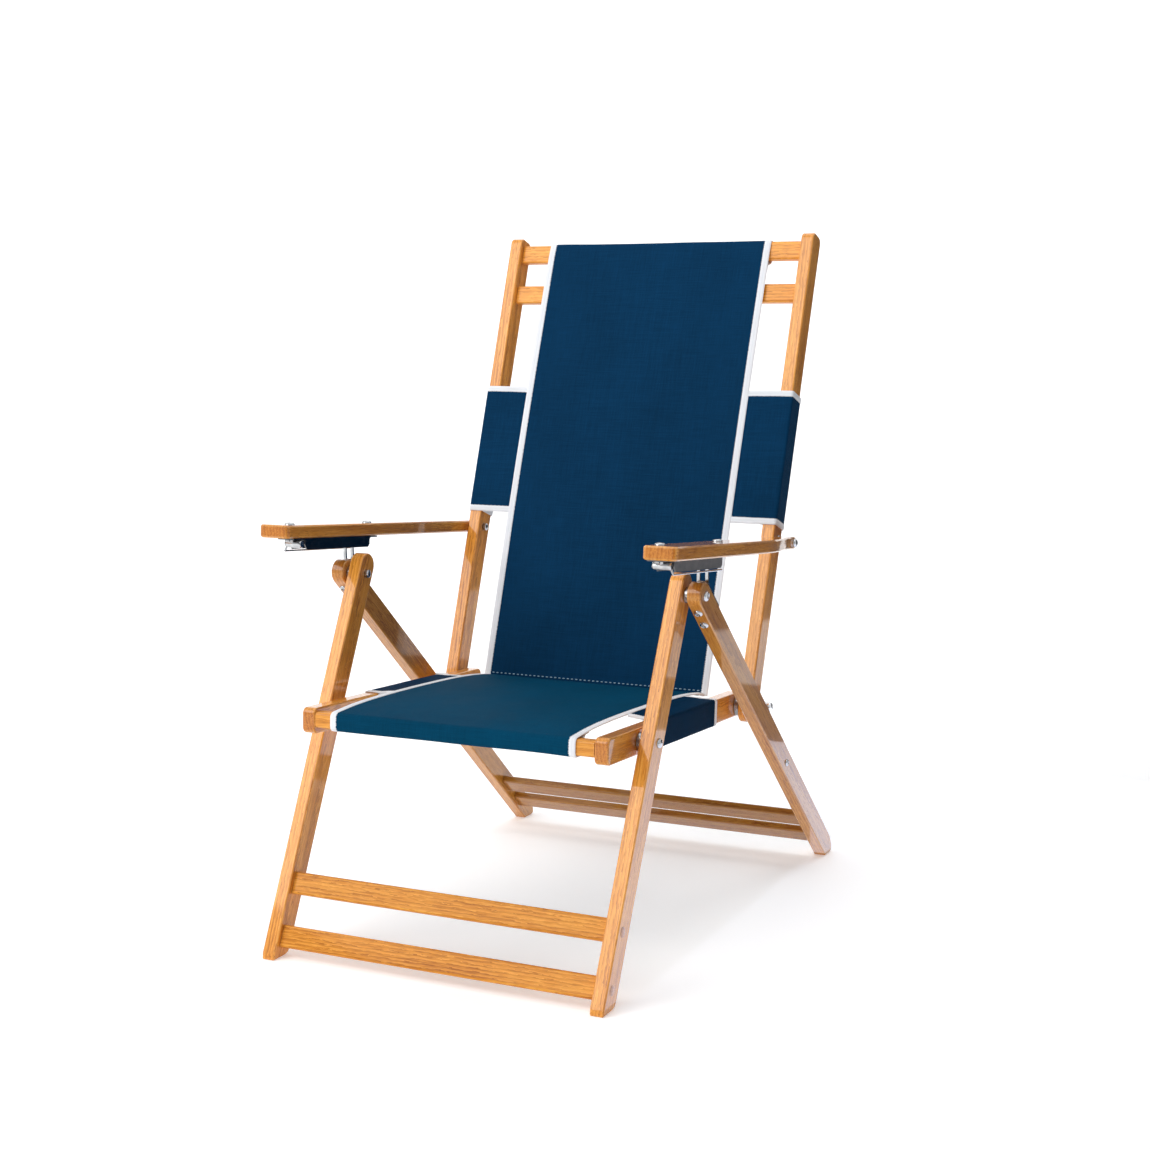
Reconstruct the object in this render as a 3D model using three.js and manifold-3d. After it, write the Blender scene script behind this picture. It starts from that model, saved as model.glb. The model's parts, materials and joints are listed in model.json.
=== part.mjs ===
// Folding deck chair: an oak frame with a canvas sling, reclining back and chromed arm racks.
// Millimetres, +Z up. The sitter faces -Y. "right" is the +X side, "left" its mirror image.
import * as THREE from 'three';
import { mergeVertices } from 'three/addons/utils/BufferGeometryUtils.js';
import Module from 'manifold-3d';

const wasm = await Module();
wasm.setup();

// ---- Driving dimensions -------------------------------------------------------------------
const GAP = 0.3;                    // running gap between neighbouring pieces
const BAR = { width: 20, depth: 36 };               // section of every main bar
const HALF = BAR.depth / 2;
const LAYER = {                     // |x| of each bar's inner face, from the middle outwards
  seat: 210, leg: 238, rear: 266,
};
const PIVOT = {                     // side view: [y from the front foot, height]
  legs: [265, 504], seat: [177, 319.5], back: [547, 301],
};
const LEAN = { front: 25.86, rear: -49.62, back: 19.32, arm: 4.59 };   // degrees off vertical
const ARM = { pivotUp: 249.5, front: -529, rear: 16, thick: 18, inner: 262, outer: 310 };
const BACK = { bottom: -25, top: 730 };
const SEAT = { front: -100, rear: 386 };
const RAIL = { thick: 12, setBack: 8, round: 3 };
const SLING = { seatHalf: 184, backHalf: 188, thick: 2.5 };
const BORE = 5.3;                   // radius of a pivot's bore
const SHANK = 5;                    // radius of a pivot's shank
const ARM_SHANK = 3;                // radius of the rack and strap bolts

// ---- Materials ----------------------------------------------------------------------------
const oak = () => new THREE.MeshStandardMaterial({ color: 0xcf8f47, roughness: 0.32, metalness: 0 });
const chrome = () => new THREE.MeshStandardMaterial({ color: 0xc9ccd0, roughness: 0.15, metalness: 1 });
const canvas = () => new THREE.MeshStandardMaterial({ color: 0x16395c, roughness: 0.85, metalness: 0 });

// ---- Solids -------------------------------------------------------------------------------
const radians = THREE.MathUtils.degToRad;

function signedVolume(geometry) {
  const p = geometry.attributes.position;
  const index = geometry.index.array;
  const [a, b, c] = [new THREE.Vector3(), new THREE.Vector3(), new THREE.Vector3()];
  let sum = 0;
  for (let i = 0; i < index.length; i += 3) {
    a.fromBufferAttribute(p, index[i]);
    b.fromBufferAttribute(p, index[i + 1]);
    c.fromBufferAttribute(p, index[i + 2]);
    sum += a.dot(b.cross(c));
  }
  return sum / 6;
}

// One closed, welded body that faces outwards.
function solid(geometry) {
  const bare = geometry.clone();
  bare.deleteAttribute('uv');
  bare.deleteAttribute('normal');
  const welded = mergeVertices(bare, 1e-3);
  const source = welded.index.array;
  const kept = [];
  for (let i = 0; i < source.length; i += 3) {
    const [a, b, c] = [source[i], source[i + 1], source[i + 2]];
    if (a !== b && b !== c && c !== a) kept.push(a, b, c);
  }
  welded.setIndex(kept);
  if (signedVolume(welded) < 0) welded.setIndex(kept.reverse());
  welded.computeVertexNormals();
  return welded;
}

function toManifold(geometry) {
  const g = solid(geometry);
  return new wasm.Manifold(new wasm.Mesh({
    numProp: 3,
    vertProperties: new Float32Array(g.attributes.position.array),
    triVerts: new Uint32Array(g.index.array),
  }));
}

function fromManifold(body) {
  const mesh = body.getMesh();
  const g = new THREE.BufferGeometry();
  g.setAttribute('position', new THREE.BufferAttribute(new Float32Array(mesh.vertProperties), 3));
  g.setIndex([...mesh.triVerts]);
  return solid(g);
}

function cut(geometry, ...tools) {
  const body = tools.reduce((rest, tool) => rest.subtract(toManifold(tool)), toManifold(geometry));
  return fromManifold(body);
}

function join(first, ...others) {
  const body = others.reduce((sum, other) => sum.add(toManifold(other)), toManifold(first));
  return fromManifold(body);
}

// A side-view outline (y, z) extruded along X from x0 to x1, with softened edges.
function sideExtrude(outline, x0, x1, soft = 0) {
  const g = new THREE.ExtrudeGeometry(outline, {
    depth: x1 - x0 - 2 * soft, curveSegments: 6, bevelEnabled: soft > 0,
    bevelThickness: soft, bevelSize: soft, bevelOffset: -soft, bevelSegments: 1,
  });
  const turn = new THREE.Matrix4().makeBasis(
    new THREE.Vector3(0, 1, 0), new THREE.Vector3(0, 0, 1), new THREE.Vector3(1, 0, 0));
  return solid(g.applyMatrix4(turn).translate(x0 + soft, 0, 0));
}

// A plan-view outline (x, y) extruded upwards from z0 to z1.
function planExtrude(outline, z0, z1, soft = 0) {
  const g = new THREE.ExtrudeGeometry(outline, {
    depth: z1 - z0 - 2 * soft, curveSegments: 6, bevelEnabled: soft > 0,
    bevelThickness: soft, bevelSize: soft, bevelOffset: -soft, bevelSegments: 1,
  });
  return solid(g.translate(0, 0, z0 + soft));
}

// An outline (x, depth below the top) extruded along Y from y0 to y1.
function rearwardExtrude(outline, y0, y1) {
  const g = new THREE.ExtrudeGeometry(outline, { depth: y1 - y0, curveSegments: 6, bevelEnabled: false });
  return solid(g.rotateX(-Math.PI / 2).translate(0, y0, 0));
}

function roundedBox(u0, u1, v0, v1, r) {
  const s = new THREE.Shape();
  s.moveTo(u0 + r, v0);
  s.lineTo(u1 - r, v0);
  s.absarc(u1 - r, v0 + r, r, -Math.PI / 2, 0);
  s.lineTo(u1, v1 - r);
  s.absarc(u1 - r, v1 - r, r, 0, Math.PI / 2);
  s.lineTo(u0 + r, v1);
  s.absarc(u0 + r, v1 - r, r, Math.PI / 2, Math.PI);
  s.lineTo(u0, v0 + r);
  s.absarc(u0 + r, v0 + r, r, Math.PI, 1.5 * Math.PI);
  return s;
}

function bore(outline, u, v, r = BORE) {
  const hole = new THREE.Path();
  hole.absarc(u, v, r, 0, 2 * Math.PI, true);
  outline.holes.push(hole);
  return outline;
}

function polygon(points) {
  return new THREE.Shape(points.map(([u, v]) => new THREE.Vector2(u, v)));
}

// A turned piece: profile of [radius, station] pairs, its axis laid along X or Z.
function turned(profile, axis = 'x') {
  const g = new THREE.LatheGeometry(profile.map(([r, t]) => new THREE.Vector2(r, t)), 16);
  return solid(axis === 'x' ? g.rotateZ(-Math.PI / 2) : g.rotateX(Math.PI / 2));
}

// Bolt along its axis from the nut's outer end to the seat of a domed head.
function boltProfile(start, end, r, head, nut = 5) {
  return [
    [0, start], [head * 0.85, start], [head * 0.85, start + nut], [r, start + nut],
    [r, end], [head, end], [head * 0.92, end + 1.6], [head * 0.62, end + 3], [0, end + 3.8],
  ];
}

function washer(x0, x1, outer, inner = BORE) {
  return turned([[inner, x0], [outer, x0], [outer, x1], [inner, x1], [inner, x0]]);
}

// ---- Assembly helpers ---------------------------------------------------------------------
const chair = new THREE.Group();

// A frame whose +Z runs up the bar and whose +Y is the bar's rear face.
function leaningGroup([y, z], lean) {
  const group = new THREE.Group();
  group.position.set(0, y, z);
  group.rotation.x = -radians(lean);
  chair.add(group);
  return group;
}

function add(group, name, geometry, material) {
  const mesh = new THREE.Mesh(geometry, material);
  mesh.name = name;
  group.add(mesh);
}

// The +X piece and its mirror image.
function addPair(group, name, geometry, material) {
  add(group, `${name}_right`, geometry, material());
  add(group, `${name}_left`, solid(geometry.clone().scale(-1, 1, 1)), material());
}

function rod(from, to, r) {
  const g = new THREE.CylinderGeometry(r, r, from.distanceTo(to), 10);
  const along = to.clone().sub(from).normalize();
  g.applyQuaternion(new THREE.Quaternion().setFromUnitVectors(new THREE.Vector3(0, 1, 0), along));
  return g.translate(...from.clone().add(to).multiplyScalar(0.5).toArray());
}

function crossRail(outline, halfWidth, soft = 0) {
  return sideExtrude(outline, -halfWidth, halfWidth, soft);
}

const frontFrame = leaningGroup(PIVOT.legs, LEAN.front);
const rearFrame = leaningGroup(PIVOT.legs, LEAN.rear);
const backFrame = leaningGroup(PIVOT.back, LEAN.back);
const seatDrop = Math.atan2(PIVOT.seat[1] - PIVOT.back[1], PIVOT.back[0] - PIVOT.seat[0]);
const seatLength = Math.hypot(PIVOT.back[0] - PIVOT.seat[0], PIVOT.back[1] - PIVOT.seat[1]);
const seatFrame = leaningGroup(PIVOT.seat, THREE.MathUtils.radToDeg(seatDrop));
const armPivot = [
  PIVOT.back[0] + ARM.pivotUp * Math.sin(radians(LEAN.back)),
  PIVOT.back[1] + ARM.pivotUp * Math.cos(radians(LEAN.back)),
];
const armFrame = leaningGroup(armPivot, LEAN.arm);

// The floor in a leaning frame: the local z at which a bar's face at local y meets height 0.
function floorAt([, height], lean, y) {
  return (y * Math.sin(radians(lean)) - height) / Math.cos(radians(lean));
}

// A side-view point given in world terms, in a leaning frame's own (y, z).
function toLocal([y, z], [oy, oz], lean) {
  const a = radians(lean);
  const [dy, dz] = [y - oy, z - oz];
  return [dy * Math.cos(a) - dz * Math.sin(a), dy * Math.sin(a) + dz * Math.cos(a)];
}

// ---- Front legs and their rails -----------------------------------------------------------
function frontLeg() {
  const foot = (y) => floorAt(PIVOT.legs, LEAN.front, y);
  const s = new THREE.Shape();
  s.moveTo(-HALF, foot(-HALF) + 10);
  s.lineTo(-HALF + 3, foot(-HALF + 3));
  s.lineTo(HALF - 9, foot(HALF - 9));
  s.quadraticCurveTo(HALF, foot(HALF), HALF, foot(HALF) + 10);
  s.lineTo(HALF, 12);
  s.absarc(0, 12, HALF, 0, Math.PI);
  s.closePath();
  bore(s, 0, 0);
  const seat = toLocal(PIVOT.seat, PIVOT.legs, LEAN.front);
  bore(s, ...seat);
  return sideExtrude(s, LAYER.leg, LAYER.leg + BAR.width, 1.5);
}

function frontRail(height) {
  const front = -HALF + RAIL.setBack;
  const low = (height - PIVOT.legs[1] + front * Math.sin(radians(LEAN.front)))
    / Math.cos(radians(LEAN.front));
  const outline = roundedBox(front, front + RAIL.thick, low, low + 31, RAIL.round);
  return crossRail(outline, LAYER.leg - GAP);
}

addPair(frontFrame, 'front_leg', frontLeg(), oak);
add(frontFrame, 'front_rail_upper', frontRail(84), oak());
add(frontFrame, 'front_rail_lower', frontRail(16.5), oak());

// ---- Rear legs, their rails, latch bails and seat hooks ------------------------------------
const REAR_FOOT = floorAt(PIVOT.legs, LEAN.rear, -HALF);
const STRAP_BOLTS = [-15, -44];
const HOOK_BOLT = [-1.4, -464.6];
const SEAT_PIN = toLocal(PIVOT.back, PIVOT.legs, LEAN.rear);
const LATCH_PIN = toLocal([279, 547.5], PIVOT.legs, LEAN.rear);

function rearLeg() {
  const along = [Math.cos(radians(LEAN.rear)), Math.sin(radians(LEAN.rear))];
  const onFloor = (d) => [-HALF + d * along[0], REAR_FOOT + d * along[1]];
  const s = new THREE.Shape();
  s.moveTo(-HALF, REAR_FOOT);
  s.lineTo(...onFloor(24));
  s.quadraticCurveTo(...onFloor(42), HALF, REAR_FOOT + 4);
  s.lineTo(HALF, 1);
  s.absarc(0, 1, HALF, 0, Math.PI);
  s.closePath();
  bore(s, 0, 0);
  bore(s, ...HOOK_BOLT, 3.3);
  const leg = sideExtrude(s, LAYER.rear, LAYER.rear + BAR.width, 1.5);
  const drills = STRAP_BOLTS.map((z) => new THREE.CylinderGeometry(3.3, 3.3, 60, 16)
    .translate(LAYER.rear + BAR.width / 2, 0, z));
  return cut(leg, ...drills);
}

function rearRail(up, height) {
  const front = -HALF + RAIL.setBack;
  const low = REAR_FOOT + up;
  const outline = roundedBox(front, front + RAIL.thick, low, low + height, RAIL.round);
  return crossRail(outline, LAYER.rear - GAP);
}

// A bent plate on the leg's rear face, open in the middle, with the latch pin across its top.
function latchBail() {
  const [x0, x1] = [LAYER.rear + 2, LAYER.rear + BAR.width - 2];
  const face = HALF + GAP;
  const [py, pz] = LATCH_PIN;
  const strip = sideExtrude(polygon([
    [face, -56], [face + 3, -56], [face + 3, -4], [py + 2, pz], [py - 2, pz], [face, -1],
  ]), x0, x1);
  const pin = new THREE.CylinderGeometry(3, 3, x1 - x0, 16)
    .rotateZ(Math.PI / 2).translate((x0 + x1) / 2, py, pz);
  const window = new THREE.BoxGeometry(x1 - x0 - 8, 40, pz)
    .translate((x0 + x1) / 2, py, pz / 2 - 3);
  const drills = STRAP_BOLTS.map((z) => new THREE.CylinderGeometry(3.3, 3.3, 20, 16)
    .translate((x0 + x1) / 2, face, z));
  return cut(join(strip, pin), window, ...drills);
}

function strapBolt(z) {
  const g = turned([
    [0, -HALF - 3.4], [4, -HALF - 2.8], [6.2, -HALF - GAP], [ARM_SHANK, -HALF - GAP],
    [ARM_SHANK, HALF + 3.6], [5.5, HALF + 3.6], [5.5, HALF + 7.6], [0, HALF + 7.6],
  ], 'z');
  return g.rotateX(-Math.PI / 2).translate(LAYER.rear + BAR.width / 2, 0, z);
}

// Plate on the inner face with an open notch that the seat's pin drops into.
function seatHook() {
  const [py, pz] = SEAT_PIN;
  const mouth = Math.atan2(0.36, 0.93);
  const s = new THREE.Shape();
  s.moveTo(-10, HOOK_BOLT[1] - 12);
  s.lineTo(7, HOOK_BOLT[1] - 12);
  s.lineTo(12, HOOK_BOLT[1] + 40);
  s.lineTo(py + 6, pz - 15);
  s.lineTo(py + 10, pz - 3.5);
  s.lineTo(py + 1, pz - 6.2);
  s.absarc(py, pz, 6.3, -Math.PI / 2, mouth + Math.PI / 2, true);
  s.lineTo(py + 2, pz + 7.5);
  s.lineTo(py - 8, pz + 16);
  s.lineTo(-2, pz + 12);
  s.closePath();
  bore(s, ...HOOK_BOLT, 3.3);
  return sideExtrude(s, LAYER.rear - 4.8, LAYER.rear - 1.8);
}

function hookBolt() {
  const [y, z] = HOOK_BOLT;
  const end = LAYER.rear + BAR.width + GAP;
  const profile = [
    [0, LAYER.rear - 7.2], [5, LAYER.rear - 7.2], [5, LAYER.rear - 5.1], [3, LAYER.rear - 5.1],
    [3, end], [5.2, end], [4.4, end + 1.6], [0, end + 2.6],
  ];
  return turned(profile).translate(0, y, z);
}

addPair(rearFrame, 'rear_leg', rearLeg(), oak);
add(rearFrame, 'rear_rail_upper', rearRail(88, 36), oak());
add(rearFrame, 'rear_rail_lower', rearRail(30, 35), oak());
addPair(rearFrame, 'latch_bail', latchBail(), chrome);
STRAP_BOLTS.forEach((z, i) => addPair(rearFrame, `strap_bolt_${i + 1}`, strapBolt(z), chrome));
addPair(rearFrame, 'seat_hook', seatHook(), chrome);
addPair(rearFrame, 'hook_bolt', hookBolt(), chrome);

// Pivot of the two leg frames.
const legBolt = boltProfile(LAYER.leg - 5.5, LAYER.rear + BAR.width + GAP, SHANK, 7);
addPair(frontFrame, 'leg_pivot_bolt', turned(legBolt), chrome);
addPair(frontFrame, 'leg_spacer', washer(LAYER.leg + BAR.width + GAP, LAYER.rear - GAP, 11), chrome);

// ---- Seat frame ---------------------------------------------------------------------------
const SEAT_FRONT_RAIL = { y: [-99, -79], z: [-9, 13] };
const SEAT_REAR_RAIL = { y: 338, r: 9 };

function seatSideRail() {
  const s = roundedBox(SEAT.front, SEAT.rear, -HALF, HALF, 9);
  bore(s, 0, 0);
  bore(s, seatLength, 0);
  return sideExtrude(s, LAYER.seat, LAYER.seat + BAR.width, 1.5);
}

function seatFrontRail() {
  const { y, z } = SEAT_FRONT_RAIL;
  return crossRail(roundedBox(...y, ...z, 5), LAYER.seat - GAP);
}

function seatRearRail() {
  const length = 2 * (LAYER.seat - GAP);
  const g = new THREE.CylinderGeometry(SEAT_REAR_RAIL.r, SEAT_REAR_RAIL.r, length, 16);
  return solid(g.rotateZ(Math.PI / 2).translate(0, SEAT_REAR_RAIL.y, -4));
}

addPair(seatFrame, 'seat_side_rail', seatSideRail(), oak);
add(seatFrame, 'seat_front_rail', seatFrontRail(), oak());
add(seatFrame, 'seat_rear_rail', seatRearRail(), oak());
const seatBolt = boltProfile(LAYER.seat - 5.5, LAYER.leg + BAR.width + GAP, SHANK, 6.5);
const seatSpacer = [LAYER.seat + BAR.width + GAP, LAYER.leg - GAP];
addPair(seatFrame, 'seat_pivot_bolt', turned(seatBolt), chrome);
addPair(seatFrame, 'seat_spacer', washer(...seatSpacer, 13), chrome);

// ---- Back frame ---------------------------------------------------------------------------
const BACK_RAILS = { top: [690, 719], second: [622, 651] };

function backUpright() {
  const s = new THREE.Shape();
  s.moveTo(HALF, BACK.bottom + HALF);
  s.lineTo(HALF, BACK.top - 10);
  s.absarc(HALF - 10, BACK.top - 10, 10, 0, Math.PI / 2);
  s.lineTo(-HALF + 10, BACK.top);
  s.absarc(-HALF + 10, BACK.top - 10, 10, Math.PI / 2, Math.PI);
  s.lineTo(-HALF, BACK.bottom + HALF);
  s.absarc(0, BACK.bottom + HALF, HALF, Math.PI, 2 * Math.PI);
  bore(s, 0, 0);
  bore(s, 0, ARM.pivotUp);
  return sideExtrude(s, LAYER.leg, LAYER.leg + BAR.width, 1.5);
}

function backRail([low, high]) {
  const front = -HALF + RAIL.setBack + 1.5;
  return crossRail(roundedBox(front, front + RAIL.thick, low, high, RAIL.round), LAYER.leg - GAP);
}

// Long bolt whose sleeve rests in the seat hook and lies behind the rear leg.
function backBolt() {
  const sleeve = LAYER.rear - 1.4;
  const end = LAYER.rear + BAR.width - 2;
  return turned([
    [0, LAYER.seat - 5.5], [6, LAYER.seat - 5.5], [6, LAYER.seat - GAP], [SHANK, LAYER.seat - GAP],
    [SHANK, sleeve], [7.6, sleeve], [7.6, end - 2], [5.5, end + 0.6], [0, end + 1.6],
  ]);
}

addPair(backFrame, 'back_upright', backUpright(), oak);
add(backFrame, 'back_rail_top', backRail(BACK_RAILS.top), oak());
add(backFrame, 'back_rail_second', backRail(BACK_RAILS.second), oak());
addPair(backFrame, 'back_pivot_bolt', backBolt(), chrome);
addPair(backFrame, 'back_spacer', washer(...seatSpacer, 17), chrome);

// ---- Arms and their racks -----------------------------------------------------------------
const RACK = { x: [263, 289], y: [-484, -312], wall: 2, depth: 16, tooth: 12 };
const RACK_BOLTS = [-503, -300];
const UNDER = -ARM.thick / 2;

function armBoard() {
  const { front, rear, inner, outer } = ARM;
  const s = new THREE.Shape();
  s.moveTo(inner, rear - 6);
  s.lineTo(inner, front + 9);
  s.quadraticCurveTo(inner, front + 1, inner + 9, front);
  s.lineTo(outer - 9, front);
  s.quadraticCurveTo(outer, front + 1, outer, front + 9);
  s.lineTo(outer, -190);
  s.bezierCurveTo(outer, -110, outer - 22, -70, outer - 24, -10);
  s.quadraticCurveTo(outer - 24, rear, outer - 31, rear);
  s.lineTo(inner + 6, rear);
  s.quadraticCurveTo(inner, rear, inner, rear - 6);
  for (const y of RACK_BOLTS) bore(s, (RACK.x[0] + RACK.x[1]) / 2, y, 3.3);
  const board = planExtrude(s, UNDER, -UNDER, 2);
  const pivot = new THREE.CylinderGeometry(BORE, BORE, 120, 16).rotateZ(Math.PI / 2);
  return cut(board, pivot.translate(inner, 0, 0));
}

// Inverted channel with a tab at each end and shallow ratchet teeth under its web.
function armRack() {
  const [x0, x1] = RACK.x;
  const [y0, y1] = RACK.y;
  const top = UNDER - GAP;
  const web = new THREE.BoxGeometry(x1 - x0, RACK_BOLTS[1] - RACK_BOLTS[0] + 18, RACK.wall)
    .translate((x0 + x1) / 2, (RACK_BOLTS[0] + RACK_BOLTS[1]) / 2, top - RACK.wall / 2);
  const cheek = polygon([
    [y0, top], [y1, top], [y1, top - RACK.depth + 4], [y1 - 4, top - RACK.depth],
    [y0 + 6, top - RACK.depth], [y0, top - RACK.depth + 8],
  ]);
  const cheeks = [x0, x1 - RACK.wall].map((x) => sideExtrude(cheek, x, x + RACK.wall));
  const teeth = [];
  for (let y = y0 + 14; y < y1 - 8; y += RACK.tooth) {
    const ridge = polygon([[y - 2, top - 1], [y + 2, top - 1], [y + 1.4, top - 4], [y - 1.4, top - 4]]);
    teeth.push(sideExtrude(ridge, x0 + 1, x1 - 1));
  }
  const drills = RACK_BOLTS.map((y) => new THREE.CylinderGeometry(3.3, 3.3, 10, 16)
    .rotateX(Math.PI / 2).translate((x0 + x1) / 2, y, top));
  return cut(join(web, ...cheeks, ...teeth), ...drills);
}

// Roller at the rack's front end and the guard wire that runs back from it.
function rackRoller() {
  const [x0, x1] = RACK.x;
  const z = UNDER - GAP - RACK.wall - 6;
  const y = RACK.y[0] - 7;
  const roller = turned([
    [0, x0], [4.5, x0], [5.5, x0 + 1.5], [5.5, x1 - 1.5], [4.5, x1], [0, x1],
  ]).translate(0, y, z);
  const elbow = new THREE.Vector3(x1 + 2, y, UNDER - GAP - RACK.depth - 2.4);
  const arm = rod(new THREE.Vector3(x1 - 3, y, z), elbow, 1.3);
  const guard = rod(elbow, new THREE.Vector3(x1 + 2, RACK.y[1] - 8, elbow.z), 1.3);
  const knuckle = new THREE.SphereGeometry(1.45, 10, 8).translate(...elbow.toArray());
  return join(roller, arm, guard, knuckle);
}

function rackBolt(y) {
  const end = -UNDER + GAP;
  const start = UNDER - RACK.wall - 2 * GAP - 3.5;
  return turned([
    [0, start], [5.2, start], [5.2, start + 3.5], [ARM_SHANK, start + 3.5], [ARM_SHANK, end],
    [7, end], [6.2, end + 1.6], [3.6, end + 2.8], [0, end + 3.2],
  ], 'z').translate((RACK.x[0] + RACK.x[1]) / 2, y, 0);
}

addPair(armFrame, 'arm', armBoard(), oak);
addPair(armFrame, 'arm_rack', armRack(), chrome);
addPair(armFrame, 'rack_roller', rackRoller(), chrome);
RACK_BOLTS.forEach((y, i) => addPair(armFrame, `rack_bolt_${i + 1}`, rackBolt(y), chrome));
const armBolt = boltProfile(LAYER.leg - 5.5, ARM.outer - 24 + GAP, SHANK, 6.5);
const armWasher = [LAYER.leg + BAR.width + GAP, ARM.inner - GAP];
addPair(armFrame, 'arm_pivot_bolt', turned(armBolt), chrome);
addPair(armFrame, 'arm_washer', washer(...armWasher, 10), chrome);

// ---- Canvas -------------------------------------------------------------------------------
// The cloth is a plain band of even thickness; its loops go round the end rails.
function seatSling() {
  const t = SLING.thick;
  const { y: [ry0, ry1], z: [rz0, rz1] } = SEAT_FRONT_RAIL;
  const s = new THREE.Shape();
  s.moveTo(ry0 - t - 0.5, rz0 + 4);
  s.quadraticCurveTo(ry0 - t - 0.5, rz0 - t - 0.5, ry0 + 5, rz0 - t - 0.5);
  s.lineTo(ry1 - 4, rz0 - t - 0.5);
  s.quadraticCurveTo(ry1 + t + 2, rz0 - t - 0.5, ry1 + t + 2, rz0 + 6);
  s.lineTo(ry1 + t + 4, rz1 + 1.5);
  s.bezierCurveTo(-10, 20.5, 60, 21, 150, 21);
  s.bezierCurveTo(240, 21, 300, 19, 352, 12.5);
  s.lineTo(352, 12.5 + t);
  s.bezierCurveTo(300, 19 + t, 240, 21 + t, 150, 21 + t);
  s.bezierCurveTo(60, 21 + t, -30, 20.5 + t, ry1 - 2, rz1 + t + 1);
  s.lineTo(ry0 + 5, rz1 + t + 0.5);
  s.quadraticCurveTo(ry0 - t - 0.5, rz1 + t + 0.5, ry0 - t - 0.5, rz1 - 4);
  s.closePath();
  s.holes.push(roundedBox(ry0 - 0.5, ry1 + 0.5, rz0 - 0.5, rz1 + 0.5, 5));
  return crossRail(s, SLING.seatHalf);
}

function backSling() {
  const t = SLING.thick;
  const [low, high] = BACK_RAILS.top;
  const front = -HALF + RAIL.setBack + 1.5;
  const rear = front + RAIL.thick;
  const s = new THREE.Shape();
  s.moveTo(-HALF, 16);
  s.lineTo(-HALF + t, 16);
  s.bezierCurveTo(-HALF - 3 + t, 250, -HALF - 3 + t, 450, -HALF + 4 + t, 620);
  s.lineTo(front - 0.8, low - 12);
  s.lineTo(rear + t + 0.5, low - 6);
  s.lineTo(rear + t + 0.5, high - 2);
  s.quadraticCurveTo(rear + t + 0.5, high + t + 0.5, rear - 3, high + t + 0.5);
  s.lineTo(front + 3, high + t + 0.5);
  s.quadraticCurveTo(front - t - 0.5, high + t + 0.5, front - t - 0.5, high - 4);
  s.bezierCurveTo(-HALF + 4, 620, -HALF - 3, 450, -HALF - 3, 250);
  s.closePath();
  s.holes.push(roundedBox(front - 0.5, rear + 0.5, low - 0.5, high + 0.5, 3));
  return crossRail(s, SLING.backHalf);
}

// A sleeve of canvas from the sling's edge round a bar, seen along the bar. Its flat face lies on
// the sitter's side.
function sleeve(barInner, slingEdge) {
  const t = 1.8;
  const outer = barInner + BAR.width + 0.5;
  const s = polygon([
    [slingEdge, -HALF - 0.5 - t], [outer + t, -HALF - 0.5 - t], [outer + t, HALF + 0.5 + t],
    [barInner - 3, HALF + 0.5 + t], [slingEdge, -HALF - 0.5],
  ]);
  s.holes.push(roundedBox(barInner - 0.5, outer, -HALF - 0.5, HALF + 0.5, 0.5));
  return s;
}

const backSleeve = planExtrude(sleeve(LAYER.leg, SLING.backHalf + 0.5), 272, 478);
const seatSleeve = rearwardExtrude(sleeve(LAYER.seat, SLING.seatHalf + 0.5), 66, 281);
add(seatFrame, 'seat_sling', seatSling(), canvas());
addPair(seatFrame, 'seat_side_sleeve', seatSleeve, canvas);
add(backFrame, 'back_sling', backSling(), canvas());
addPair(backFrame, 'back_side_sleeve', backSleeve, canvas);

// ---- Origin: middle of the footprint, on the floor -----------------------------------------
const bounds = new THREE.Box3().setFromObject(chair, true);
chair.position.y = -(bounds.min.y + bounds.max.y) / 2;

export default chair;
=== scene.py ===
import json
import math

import bpy
import numpy as np
from mathutils import Matrix, Vector, noise
from mathutils.bvhtree import BVHTree


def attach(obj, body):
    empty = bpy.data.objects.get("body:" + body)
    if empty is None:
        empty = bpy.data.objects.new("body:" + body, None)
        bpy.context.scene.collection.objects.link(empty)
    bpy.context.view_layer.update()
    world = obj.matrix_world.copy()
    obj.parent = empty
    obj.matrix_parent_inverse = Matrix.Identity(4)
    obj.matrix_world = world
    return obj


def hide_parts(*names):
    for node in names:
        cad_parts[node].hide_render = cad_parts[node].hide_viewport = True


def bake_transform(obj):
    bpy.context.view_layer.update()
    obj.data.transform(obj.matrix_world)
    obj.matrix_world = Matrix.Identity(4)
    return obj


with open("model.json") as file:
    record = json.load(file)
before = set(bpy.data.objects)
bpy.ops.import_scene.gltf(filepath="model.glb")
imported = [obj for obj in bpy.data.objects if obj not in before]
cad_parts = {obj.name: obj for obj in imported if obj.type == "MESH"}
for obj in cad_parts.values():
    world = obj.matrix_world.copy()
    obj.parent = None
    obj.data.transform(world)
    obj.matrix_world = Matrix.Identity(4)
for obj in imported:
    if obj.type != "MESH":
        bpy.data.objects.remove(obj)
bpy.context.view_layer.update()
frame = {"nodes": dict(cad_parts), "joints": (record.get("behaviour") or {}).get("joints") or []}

MM = 0.001
NODES = frame["nodes"]
SIDES = {"right": 1, "left": -1}

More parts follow.
